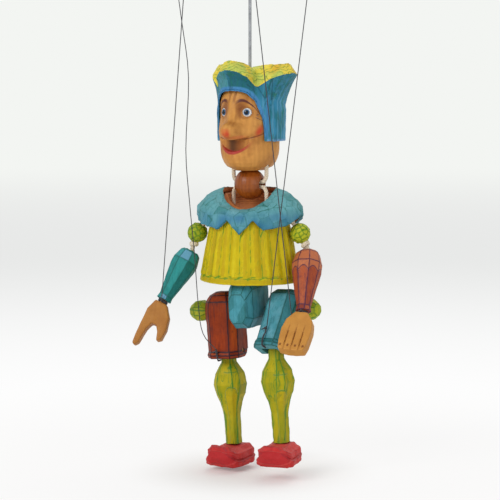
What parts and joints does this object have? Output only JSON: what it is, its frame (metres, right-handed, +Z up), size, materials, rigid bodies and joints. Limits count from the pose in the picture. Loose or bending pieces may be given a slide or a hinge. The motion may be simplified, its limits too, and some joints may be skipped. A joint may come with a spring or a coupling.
{
  "type": "wooden puppet",
  "caption": "Carved and painted jester string puppet with a loose ball neck, pleated tunic and jointed limbs, hung by a head rod and threads from a hand control.",
  "frame": {"origin": "inside top of the control's hanging hook, where a peg or rail carries the puppet", "axes": "+Z up along the head rod, the figure's chest faces -Y and its own left side is +X"},
  "size_m": [0.1662, 0.1344, 0.5483],
  "materials": {
    "bare_wood": "oiled",
    "dark_wood": "varnished",
    "control_wood": "satin",
    "hat_blue": "stained",
    "teal": "stained",
    "yellow": "stained",
    "yellow_green": "stained",
    "terracotta": "stained",
    "rust": "stained",
    "red": "stained",
    "eye_gloss": "gloss paint",
    "steel": "drawn wire",
    "cotton": "cotton cord",
    "thread": "twisted thread"
  },
  "bodies": {
    "control": {"control_handle": "control_wood", "hanging_hook": "steel", "control_rod": "steel", "hand_bar_arm": "control_wood", "hand_bar": "control_wood", "leg_bar_pin": "steel", "leg_bar_washer": "control_wood", "head": "bare_wood", "hat": "hat_blue", "eye_right": "eye_gloss", "eye_left": "eye_gloss", "head_screw_eye": "steel", "neck_cord_upper": "cotton", "hand_thread_right": "thread", "hand_thread_left": "thread", "leg_thread_right": "thread", "leg_thread_left": "thread"},
    "leg_rocker": {"leg_bar": "control_wood"},
    "neck": {"neck_ball": "dark_wood"},
    "torso": {"collar": "teal", "tunic": "yellow", "neck_cord_lower": "cotton", "waist_cord": "cotton"},
    "right_shoulder": {"shoulder_ball_right": "yellow_green", "shoulder_cord_right": "cotton"},
    "left_shoulder": {"shoulder_ball_left": "yellow_green", "shoulder_cord_left": "cotton"},
    "right_arm": {"sleeve_right": "teal", "wrist_peg_right": "control_wood", "wrist_loop_right": "thread", "hand_right": "bare_wood"},
    "left_arm": {"sleeve_left": "terracotta", "wrist_peg_left": "control_wood", "wrist_loop_left": "thread", "hand_left": "bare_wood"},
    "hips": {"pelvis": "teal", "hip_cord": "cotton", "hip_knob_right": "yellow_green", "hip_knob_left": "yellow_green"},
    "right_thigh": {"thigh_right": "rust", "knee_pin_right": "steel", "knee_loop_right": "thread"},
    "left_thigh": {"thigh_left": "teal", "knee_pin_left": "steel", "knee_loop_left": "thread"},
    "right_calf": {"calf_right": "yellow_green", "ankle_dowel_right": "control_wood", "shoe_right": "red"},
    "left_calf": {"calf_left": "yellow_green", "ankle_dowel_left": "control_wood", "shoe_left": "red"}
  },
  "joints": [
    {"name": "leg_bar_rock", "type": "hinge", "parent": "control", "child": "leg_rocker", "pos_m": [0, -0.024, -0.089], "axis": [0, 1, 0], "range_deg": [-14, 14]},
    {"name": "neck_nod", "type": "hinge", "parent": "control", "child": "neck", "pos_m": [0, 0, -0.2907], "axis": [0.9613, -0.2756, 0], "range_deg": [-4, 4]},
    {"name": "body_sway", "type": "hinge", "parent": "neck", "child": "torso", "pos_m": [0, 0, -0.2953], "axis": [-0.9613, 0.2756, 0], "range_deg": [-4, 4]},
    {"name": "right_shoulder_lift", "type": "hinge", "parent": "torso", "child": "right_shoulder", "pos_m": [-0.03126, -0.004, -0.31737], "axis": [0, 1, 0], "range_deg": [0, 12]},
    {"name": "left_shoulder_lift", "type": "hinge", "parent": "torso", "child": "left_shoulder", "pos_m": [0.03189, -0.004, -0.31511], "axis": [0, -1, 0], "range_deg": [0, 9.9]},
    {"name": "right_arm_swing", "type": "hinge", "parent": "right_shoulder", "child": "right_arm", "pos_m": [-0.05271, -0.004, -0.35284], "axis": [-0.9063, 0, 0.4226], "range_deg": [0, 40], "deforming": ["hand_thread_right"]},
    {"name": "left_arm_swing", "type": "hinge", "parent": "left_shoulder", "child": "left_arm", "pos_m": [0.0545, -0.004, -0.35052], "axis": [-0.9976, 0, -0.0698], "range_deg": [0, 33], "deforming": ["hand_thread_left"]},
    {"name": "waist_twist", "type": "hinge", "parent": "torso", "child": "hips", "pos_m": [0.002, 0.006, -0.36], "axis": [0, 0, 1], "range_deg": [-2.5, 8]},
    {"name": "right_hip", "type": "hinge", "parent": "hips", "child": "right_thigh", "pos_m": [-0.01012, 0.00792, -0.40586], "axis": [-0.9853, 0.1561, -0.0698], "range_deg": [0, 32], "deforming": ["leg_thread_right"]},
    {"name": "left_hip", "type": "hinge", "parent": "hips", "child": "left_thigh", "pos_m": [0.01954, 0.00322, -0.40376], "axis": [-0.9312, 0.358, -0.0682], "range_deg": [-32, 0], "deforming": ["leg_thread_left"]},
    {"name": "right_knee", "type": "hinge", "parent": "right_thigh", "child": "right_calf", "pos_m": [-0.0234, 0.01002, -0.44289], "axis": [0.9853, -0.1561, 0.0698], "range_deg": [0, 75]},
    {"name": "left_knee", "type": "hinge", "parent": "left_thigh", "child": "left_calf", "pos_m": [0.02971, -0.02065, -0.4334], "axis": [0.9312, -0.358, 0.0682], "range_deg": [-32, 43]}
  ],
  "couplings": [
    {"joint": "leg_bar_rock", "follows": "left_hip", "ratio": -0.42},
    {"joint": "right_hip", "follows": "left_hip", "ratio": -1},
    {"joint": "right_shoulder_lift", "follows": "right_arm_swing", "ratio": 0.3},
    {"joint": "left_shoulder_lift", "follows": "left_arm_swing", "ratio": 0.3}
  ]
}
